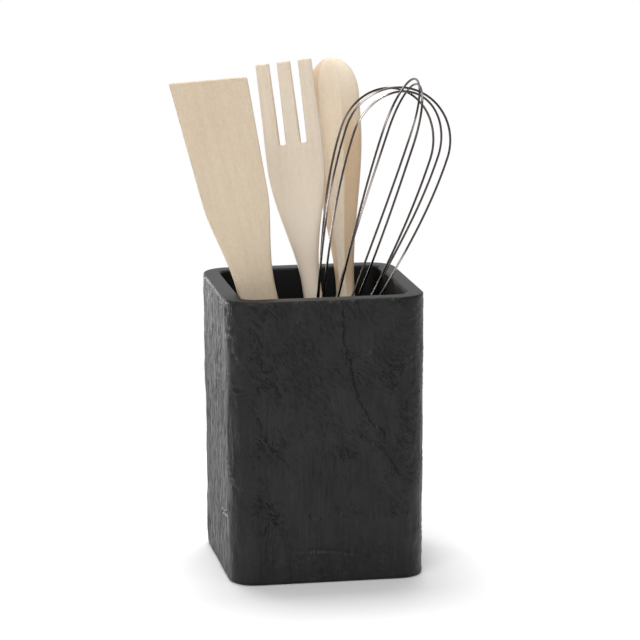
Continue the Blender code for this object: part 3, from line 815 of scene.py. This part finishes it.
def fork_points(overall):
    """The fork's front and back as grids over three strips, one for each tine.

    The half-thickness is t (1 - |x/w|^p)^(1/p) for a half-width w, times a quarter circle of the
    distance to the nearest slot, so that every edge of a tine is rounded. A slot widens from its
    root, whose two corners are arcs. Below the slots the strips share their borders, and the whole
    fork bows a little towards -X in its shoulder. The first and last rows lie in the middle plane
    and close the ends.
    """
    head, shoulder, slot = 53 * MM, 67 * MM, 44.5 * MM
    tip_half, root_half, slot_place = 15.1 * MM, 15.6 * MM, 5.7 * MM
    tip_gap, root_gap, root_corner = 2.0 * MM, 1.55 * MM, 0.8 * MM
    tip_thick, head_thick, tip_soft = 1.7 * MM, 3.1 * MM, 1.2 * MM
    tine_corner, slot_soft = 1.0 * MM, 0.7 * MM
    bow, bow_place, bow_reach = 1.0 * MM, 88 * MM, 30 * MM
    head_power, handle_power = 5.0, 2.3
    root = overall - slot
    near_root = root - 2 * MM
    along = np.concatenate([
        FORK_FOOT * (1 - np.cos(np.radians(np.linspace(3, 85, 10)))),
        np.linspace(FORK_FOOT, near_root, 150)[:-1],
        np.linspace(near_root, root, 9)[:-1],
        root + root_corner * (1 - np.cos(np.radians(np.linspace(0, 90, 8)))),
        np.linspace(root + root_corner, overall - tine_corner, 60)[1:],
        overall - tine_corner * (1 - np.sin(np.radians(np.linspace(8, 90, 11))))
    ])
    along = np.concatenate([along[:1], along, along[-1:]])
    from_tip = overall - along
    up_slot = np.clip(from_tip / slot, 0, 1)
    neck = ease((from_tip - head) / shoulder)
    half = mix(mix(tip_half, root_half, up_slot), FORK_FOOT, neck)
    half = drawn_in(half, along, FORK_FOOT)
    inside = np.clip(tine_corner - from_tip, 0, tine_corner)
    tip_inset = tine_corner - np.sqrt(tine_corner ** 2 - inside ** 2)
    half = half - tip_inset
    thick = mix(mix(tip_thick, head_thick, ease(from_tip / head)), FORK_FOOT, neck)
    thick = drawn_in(thick, from_tip, tip_soft)
    thick = drawn_in(thick, along, FORK_FOOT)
    power = mix(head_power, handle_power, neck)
    opening = mix(tip_gap, root_gap, up_slot)
    shy = np.clip(root + root_corner - along, 0, root_corner)
    opening = opening - root_corner + np.sqrt(root_corner ** 2 - shy ** 2)
    opening = np.where(along < root, 0, opening) + tip_inset
    middle = np.where(along < root, slot_place / root_half * half, slot_place)
    spread = (1 - np.cos(np.pi * np.linspace(0, 1, 19))) / 2
    bowed = -bow * np.exp(-((from_tip - bow_place) / bow_reach) ** 2)
    strips = []
    for left, right in ((-half, -middle - opening), (-middle + opening, middle - opening),
                        (middle + opening, half)):
        x = left[:, None] + (right - left)[:, None] * spread
        outer = np.minimum(np.abs(x) / half[:, None], 1.0)
        y = thick[:, None] * (1 - outer ** power[:, None]) ** (1 / power[:, None])
        for sign in (-1, 1):
            beside = np.abs(x - sign * middle[:, None]) - opening[:, None]
            sideways = np.maximum(np.abs(x - sign * slot_place) - root_gap, 0)
            below = np.hypot(sideways, (along - root)[:, None])
            gap = np.clip(np.where((along >= root)[:, None], beside, below) / slot_soft, 0, 1)
            y = y * np.sqrt(1 - (1 - gap) ** 2)
        y[[0, -1]] = 0.0
        x = x + bowed[:, None]
        z = np.broadcast_to(along[:, None], x.shape)
        strips.append((np.stack([x, -y, z], axis=-1), np.stack([x, y, z], axis=-1)))
    return strips


def spoon_points(overall):
    """The spoon's rings: a rim edge, a bevelled back and a shallow hollow in front.

    A ring's back is a flat face between two bevels that slope to the rim: with u = |x|/w it is
    b (1 - u^p)^(1/p) over the rim's own height, mixed with the lower of b and the bevel's line
    b (1 - u) / (1 - f) for a flat share f. The handle's rings are round. Also returns a mask of
    painted shade on the bevels: how much each point lies on one, fading out near the tip on the
    right.
    """
    bowl, shoulder, tip_round = 37.2 * MM, 88.5 * MM, 20.9 * MM
    bowl_half, rim_half, back_deep = 14.6 * MM, 2.0 * MM, 7.6 * MM
    hollow_deep, brim = 3.4 * MM, 2.6 * MM
    bevel_start, bevel_reach = 118 * MM, 26 * MM
    shade_start, shade_reach = 12 * MM, 40 * MM
    handle_power, bowl_power = 2.0, 2.3
    handle_flat, bowl_flat = 0.34, 0.42
    bevel_share, sides = 0.85, 96
    along = end_steps(overall, SPOON_FOOT, tip_round)
    from_tip = overall - along
    bowl_share = 1 - ease((from_tip - bowl) / shoulder)
    inside = np.clip(tip_round - from_tip, 0, tip_round)
    tip_share = np.sqrt(np.clip(1 - (inside / tip_round) ** 2, 0, 1))
    thin = np.sqrt(tip_share)
    half = drawn_in(mix(SPOON_FOOT, bowl_half, bowl_share) * tip_share, along, SPOON_FOOT)
    rim = drawn_in(mix(SPOON_FOOT, rim_half, bowl_share) * thin, along, SPOON_FOOT)
    back = drawn_in(mix(SPOON_FOOT, back_deep, bowl_share) * thin, along, SPOON_FOOT)
    hollow = hollow_deep * ease(bowl_share) * tip_share
    turn = 2 * np.pi * (np.arange(sides) + 0.5) / sides
    cosine, sine = np.cos(turn), np.sin(turn)
    power = (2 / mix(handle_power, bowl_power, bowl_share))[:, None]
    x = half[:, None] * np.sign(cosine) * np.abs(cosine) ** power
    oval = np.abs(sine) ** power
    dish = 1 - (x / np.maximum(half - brim, 1e-5)[:, None]) ** 2
    front_y = rim[:, None] * oval - hollow[:, None] * np.clip(dish, 0, 1)
    across = np.abs(x) / np.maximum(half, 1e-6)[:, None]
    flat = mix(handle_flat, bowl_flat, ease(bowl_share * 1.2))[:, None]
    facet = np.minimum((1 - across) / (1 - flat), 0.98 + 0.02 * oval)
    facet = mix(0.3, 1.0, facet) * np.minimum(oval * 2.2, 1)
    bevelled = ease((along - bevel_start) / bevel_reach)[:, None]
    back_y = -back[:, None] * mix(oval, facet, bevelled * bevel_share)
    y = np.where(sine > 0, front_y, back_y)
    # Painted shade mask: the back's bevels, 0.9 on the left one and fading out near the tip on the
    # right one
    fading = ease((from_tip - shade_start) / shade_reach)[:, None]
    edge = (sine < 0) * ease((across - flat) / 0.05) * bevelled
    edge = edge * np.where(x < 0, 0.9, fading)
    z = np.broadcast_to(along[:, None], x.shape)
    return np.stack([x, y, z], axis=-1), edge


class UTENSILHOLDER_OT_spatula(bpy.types.Operator):
    """Build the wooden spatula"""

    bl_idname = "utensil_holder.spatula"
    bl_label = "Spatula"

    def execute(self, context):
        settings = context.scene.utensil_wood
        points = spatula_points(settings.spatula_length)
        piece = stood_piece("beech_spatula", points, SPATULA_STAND, SPATULA_FOOT)
        finish = wood_finish("spatula_wood", settings.spatula_colour, seed=1)
        dress(piece, finish, "spatula", "spatula_wood", "wooden_spatula")
        return {"FINISHED"}


class UTENSILHOLDER_OT_fork(bpy.types.Operator):
    """Build the wooden fork"""

    bl_idname = "utensil_holder.fork"
    bl_label = "Fork"

    def execute(self, context):
        settings = context.scene.utensil_wood
        grids, faces, first = [], [], 0
        for back, front in fork_points(settings.fork_length):
            rows, columns = back.shape[:2]
            for grid, flip in ((back, False), (front, True)):
                made = quads(rows, columns, closed=False) + first
                faces.append(made[:, ::-1] if flip else made)
                grids.append(grid.reshape(-1, 3))
                first += rows * columns
        points = np.concatenate(grids)
        placed = carried(points, FORK_STAND, FORK_FOOT)
        piece = make_piece(
            "beech_fork", placed, np.concatenate(faces).tolist(), {"upright": points}
        )
        weld(piece, distance=0.004 * MM)
        # The fork's handle is painted lighter: painted light
        finish = wood_finish("fork_wood", settings.fork_colour, seed=2, painted_handle_light=0.9)
        dress(piece, finish, "fork", "fork_wood", "wooden_fork")
        return {"FINISHED"}


class UTENSILHOLDER_OT_spoon(bpy.types.Operator):
    """Build the wooden spoon"""

    bl_idname = "utensil_holder.spoon"
    bl_label = "Spoon"

    def execute(self, context):
        settings = context.scene.utensil_wood
        points, edge = spoon_points(settings.spoon_length)
        # The edge attribute carries the painted shade on the spoon's bevels
        piece = stood_piece("beech_spoon", points, SPOON_STAND, SPOON_FOOT, edge=edge)
        finish = wood_finish("spoon_wood", settings.spoon_colour, seed=3)
        dress(piece, finish, "spoon", "spoon_wood", "wooden_spoon")
        return {"FINISHED"}


# The whisk

# Each loop's drop below the top in wire widths, its sideways shift as a share of the radius, and
# its twist towards the crown in degrees
LOOP_FORMS = ((4.8, 0.0, 4.0), (6.2, 0.0, -6.0), (0.0, -0.23, -2.0), (2.0, -0.13, -8.0),
              (6.8, 0.23, 3.0))
WIRE_SIDES, TURNED_SIDES = 12, 48

# The radius of the circle where the wires stand in the plug, how deep they and the plug reach, the
# handle's wall and the room round what fits inside it
LEG_CIRCLE, WIRE_DEPTH, PLUG_DEPTH = 3.6 * MM, 12.5 * MM, 12 * MM
HANDLE_WALL, NECK_ROOM = 0.8 * MM, 0.3 * MM


def loop_path(settings, number):
    """One loop's centre line: up from the plug, over an elliptic crown and down again.

    The distance from the axis is an S-curve from the mouth to the widest place, then the ellipse
    r sqrt(1 - (1 - d/c)^2) for a distance d below the top and a crown c high. The loop's shift and
    twist fade out towards the mouth.
    """
    drop, shift, twist = LOOP_FORMS[number]
    top = settings.overall - settings.wire * (0.5 + drop)
    crown, mouth = settings.crown, settings.handle
    rise = np.concatenate([
        np.linspace(mouth - WIRE_DEPTH, mouth, 4, endpoint=False),
        np.linspace(mouth, top - crown, 60, endpoint=False),
        top - crown * (1 - np.sin(np.radians(np.linspace(0, 90, 40))))
    ])
    from_top = top - rise
    arch = np.sqrt(np.clip(1 - np.clip(1 - from_top / crown, 0, 1) ** 2, 0, 1))
    part = np.clip((from_top - crown) / (top - mouth - crown), 0, 1)
    drawn = ease(part * 0.71) / ease(0.71)
    radius = mix(settings.radius, LEG_CIRCLE, drawn) * arch
    bent = 1 - ease(part)
    heading = math.pi * number / len(LOOP_FORMS) + math.radians(twist) * bent
    legs = []
    for side in (1, -1):
        reach = shift * settings.radius * bent + side * radius
        legs.append(np.stack([reach * np.cos(heading), reach * np.sin(heading), rise], axis=-1))
    return np.concatenate([legs[0], legs[1][-2::-1]])


def tube_points(path, radius):
    """A round tube: circles square to the path, each one's frame turned as little as possible."""
    ahead = np.gradient(path, axis=0)
    ahead /= np.linalg.norm(ahead, axis=1)[:, None]
    across = np.cross(ahead[0], (0.3, 0.5, 0.1))
    frames = []
    for tangent in ahead:
        across = across - tangent * (across @ tangent)
        across = across / np.linalg.norm(across)
        frames.append(across)
    across = np.array(frames)
    over = np.cross(ahead, across)
    turn = 2 * np.pi * np.arange(WIRE_SIDES) / WIRE_SIDES
    ring = np.cos(turn)[None, :, None] * across[:, None] + np.sin(turn)[None, :, None] * over[:, None]
    return path[:, None] + radius * ring


def turned_points(profile):
    """A turned piece: a profile of radius and height, from the bottom up, spun about Z."""
    radius, height = np.array(profile).T
    turn = 2 * np.pi * np.arange(TURNED_SIDES) / TURNED_SIDES
    x = radius[:, None] * np.cos(turn)
    y = radius[:, None] * np.sin(turn)
    z = np.broadcast_to(height[:, None], x.shape)
    return np.stack([x, y, z], axis=-1)


def round_corner(centre, radius, start, end, steps=6):
    """Points of an arc in a profile, from one heading to another in degrees."""
    turn = np.radians(np.linspace(start, end, steps))
    return [(centre[0] + radius * math.cos(a), centre[1] + radius * math.sin(a)) for a in turn]


def handle_points(settings):
    """The handle: a tube from the end cap to the mouth, whose two edges are rounded."""
    outer = settings.handle_width / 2
    bore = outer - HANDLE_WALL
    top, soft = settings.handle, 0.3 * MM
    foot = outer
    profile = [(bore, foot), (outer, foot)]
    profile += round_corner((outer - soft, top - soft), soft, 0, 90)
    profile += round_corner((bore + soft, top - soft), soft, 90, 180)
    return turned_points(profile + [(bore, foot)])


def cap_points(settings):
    """The end cap: an elliptic dome under the tube and a neck inside it."""
    outer, neck_top = settings.handle_width / 2, 10 * MM
    neck, shoulder = outer - HANDLE_WALL - NECK_ROOM, outer - NECK_ROOM
    dome = [(outer * math.sin(a), shoulder - shoulder * math.cos(a))
            for a in np.radians(np.linspace(4, 90, 16))]
    return turned_points(dome + [(neck, shoulder), (neck, neck_top)])


def plug_points(settings):
    """The plug in the handle's mouth, with a shallow elliptic dip in its top."""
    neck = settings.handle_width / 2 - HANDLE_WALL - NECK_ROOM
    top, dip = settings.handle - 1 * MM, 0.25 * MM
    face = [(neck * math.cos(a), top - dip * math.sin(a))
            for a in np.radians(np.linspace(0, 86, 10))]
    return turned_points([(neck, top - PLUG_DEPTH)] + face)


class UTENSILHOLDER_OT_whisk(bpy.types.Operator):
    """Build the whisk: its wire loops, tube handle, plug and end cap"""

    bl_idname = "utensil_holder.whisk"
    bl_label = "Whisk"

    def execute(self, context):
        settings = context.scene.utensil_whisk
        foot_round = settings.handle_width / 2
        wire = steel_finish("wire_steel", settings.wire_steel, settings.steel, (300, 300, 40))
        brushed = steel_finish("handle_steel", settings.steel, settings.steel, (200, 200, 4000))
        for number in range(len(LOOP_FORMS)):
            points = tube_points(loop_path(settings, number), settings.wire / 2)
            name = "steel_loop_%d" % (number + 1)
            loop = stood_piece(name, points, WHISK_STAND, foot_round)
            dress(loop, wire, "whisk", "wire_steel", "whisk_wire_%d" % (number + 1))
        points = handle_points(settings)
        handle = make_piece(
            "steel_handle", carried(points, WHISK_STAND, foot_round),
            quads(*points.shape[:2]).tolist(), {"upright": points}
        )
        weld(handle, distance=0.002 * MM)
        dress(handle, brushed, "whisk", "handle_steel", "whisk_handle")
        cap = stood_piece("steel_end_cap", cap_points(settings), WHISK_STAND, foot_round)
        dress(cap, brushed, "whisk", "handle_steel", "whisk_end_cap")
        plug = stood_piece("wire_plug", plug_points(settings), WHISK_STAND, foot_round)
        dress(plug, plug_finish(), "whisk", "plug_plastic", "whisk_wire_plug")
        return {"FINISHED"}


# The stage

# The camera that was fitted to the photograph: its azimuth, elevation and roll in degrees, and its
# focal length in pixels of the picture's width
CAMERA_POSITION = (-0.290524, -1.677616, 0.46546)
CAMERA_ANGLES = (-9.968, 11.172, -0.311)
FOCAL_PIXELS, PICTURE_PIXELS, SENSOR_WIDTH = 3291.1, 640, 36.0

# Each lamp's position, the point that it faces and the length of its side
LAMPS = {
    "key": ((-0.42, -1.0, 1.2), (0, 0, 0.15), 0.9),
    "top": ((0, 0.45, 1.6), (0, 0, 0.05), 0.65),
    "side": ((-0.6, 0.85, 0.2), (-0.05, 0, 0.07), 0.36),
    "fill": ((-0.3, -1.5, 0.75), (0, 0, 0.15), 0.9),
}

FLOOR_HALF = 3.0
# The floor is white to the camera from the second distance to the pot, and shaded within the first
SHADED_WITHIN, WHITE_BEYOND = 0.12, 0.42


def look(made, position, back, roll=0.0):
    """Place a camera or a lamp so that it looks the other way from back, turned by roll."""
    right = np.cross((0, 0, 1), back)
    right /= np.linalg.norm(right)
    up = np.cross(back, right)
    c, s = math.cos(roll), math.sin(roll)
    place = np.eye(4)
    place[:3, 0] = c * right + s * up
    place[:3, 1] = c * up - s * right
    place[:3, 2] = back
    place[:3, 3] = position
    made.matrix_world = place.T.tolist()


def photo_camera(scene):
    """Add the camera and look through it."""
    data = bpy.data.cameras.new("photo_camera")
    data.sensor_width = SENSOR_WIDTH
    data.lens = FOCAL_PIXELS * SENSOR_WIDTH / PICTURE_PIXELS
    camera = bpy.data.objects.new("photo_camera", data)
    scene.collection.objects.link(camera)
    azimuth, elevation, roll = np.radians(CAMERA_ANGLES)
    back = np.array([
        math.sin(azimuth) * math.cos(elevation), -math.cos(azimuth) * math.cos(elevation),
        math.sin(elevation)
    ])
    look(camera, CAMERA_POSITION, back, roll)
    scene.camera = camera


def lamp(name, position, target, size, watts):
    """A square area lamp that faces a point."""
    light = bpy.data.lights.new(name, "AREA")
    light.shape = "SQUARE"
    light.size = size
    light.energy = watts
    made = bpy.data.objects.new(name, light)
    bpy.context.scene.collection.objects.link(made)
    back = np.array(position, float) - np.array(target, float)
    look(made, position, back / np.linalg.norm(back))
    made.visible_camera = False


def white_floor():
    """A white floor that takes the object's shadow.

    The camera and reflections see it as pure white some way from the pot, where the lamps fall off.
    """
    corners = [(-1, -1, 0), (1, -1, 0), (1, 1, 0), (-1, 1, 0)]
    floor = make_piece("white_floor", FLOOR_HALF * np.array(corners, float), [(0, 1, 2, 3)])
    finish = Finish("white_floor")
    finish.set(Base_Color=(0.86, 0.86, 0.86), Roughness=0.9, Specular_IOR_Level=0.0)
    away = finish.node(
        "ShaderNodeVectorMath", {"operation": "LENGTH"}, {0: finish.place()}, "Value"
    )
    seen = finish.node("ShaderNodeLightPath", output="Is Camera Ray")
    seen = seen + finish.node("ShaderNodeLightPath", output="Is Glossy Ray")
    lit = Value(finish, finish.shader.outputs["BSDF"])
    white = finish.node("ShaderNodeEmission", {}, {"Color": (1, 1, 1), "Strength": 1.0}, "Emission")
    both = finish.node(
        "ShaderNodeMixShader", {},
        {0: away.step(SHADED_WITHIN, WHITE_BEYOND) * seen, 1: lit, 2: white}, "Shader"
    )
    finish.feed(finish.tree.nodes["Material Output"].inputs["Surface"], both)
    floor.data.materials.append(finish.material)


def white_world(ambient, reflected):
    """White where the camera sees it, and dimmer as a source of light.

    A reflection sees it white behind the object and as dim as reflected on the camera's side.
    """
    world = bpy.data.worlds.new("white_world")
    world.use_nodes = True
    nodes = Nodes(world.node_tree)
    heading = nodes.node("ShaderNodeTexCoord", output="Generated")
    behind = nodes.node("ShaderNodeSeparateXYZ", {}, {0: heading}, "Y")
    mirrored = nodes.node("ShaderNodeLightPath", output="Is Glossy Ray")
    seen = nodes.node("ShaderNodeLightPath", output="Is Camera Ray")
    strength = ambient * (1 - mirrored) + behind.step(-0.2, 0.9, reflected, 1.0) * mirrored
    strength = strength * (1 - seen) + seen
    background = nodes.tree.nodes["Background"]
    nodes.feed(background.inputs["Color"], (1, 1, 1))
    nodes.feed(background.inputs["Strength"], strength)
    bpy.context.scene.world = world


class UTENSILHOLDER_OT_stage(bpy.types.Operator):
    """Set the white floor, the lamps and the camera"""

    bl_idname = "utensil_holder.stage"
    bl_label = "Stage"

    def execute(self, context):
        settings = context.scene.utensil_stage
        white_floor()
        white_world(settings.ambient, settings.reflected)
        for name, (position, target, size) in LAMPS.items():
            lamp(name + "_lamp", position, target, size, getattr(settings, name))
        photo_camera(context.scene)
        context.scene.view_settings.view_transform = "Standard"
        return {"FINISHED"}


class UTENSILHOLDER_PT_pieces(bpy.types.Panel):
    """The pieces of the utensil holder, each with the button that builds it"""

    bl_idname = "UTENSILHOLDER_PT_pieces"
    bl_label = "Utensil holder"
    bl_space_type = "VIEW_3D"
    bl_region_type = "UI"
    bl_category = "Utensil holder"

    def draw(self, context):
        for operator in OPERATORS:
            self.layout.operator(operator.bl_idname)
        for name, group in SETTINGS.items():
            box = self.layout.box()
            for label in group.__annotations__:
                box.prop(getattr(context.scene, name), label)


OPERATORS = (
    UTENSILHOLDER_OT_pot, UTENSILHOLDER_OT_spatula, UTENSILHOLDER_OT_fork,
    UTENSILHOLDER_OT_spoon, UTENSILHOLDER_OT_whisk, UTENSILHOLDER_OT_stage
)
SETTINGS = {
    "utensil_pot": PotSettings, "utensil_wood": WoodSettings, "utensil_whisk": WhiskSettings,
    "utensil_stage": StageSettings
}


def register():
    """Make the settings, the operators and the panel known."""
    for group in (*SETTINGS.values(), *OPERATORS, UTENSILHOLDER_PT_pieces):
        bpy.utils.register_class(group)
    for name, group in SETTINGS.items():
        setattr(bpy.types.Scene, name, bpy.props.PointerProperty(type=group))


def unregister():
    """Take them away again."""
    for name in SETTINGS:
        delattr(bpy.types.Scene, name)
    for group in (UTENSILHOLDER_PT_pieces, *OPERATORS[::-1], *SETTINGS.values()):
        bpy.utils.unregister_class(group)


def main():
    """Build every piece and the stage."""
    register()
    bpy.ops.utensil_holder.pot()
    bpy.ops.utensil_holder.spatula()
    bpy.ops.utensil_holder.fork()
    bpy.ops.utensil_holder.spoon()
    bpy.ops.utensil_holder.whisk()
    bpy.ops.utensil_holder.stage()


if __name__ == "__main__":
    main()
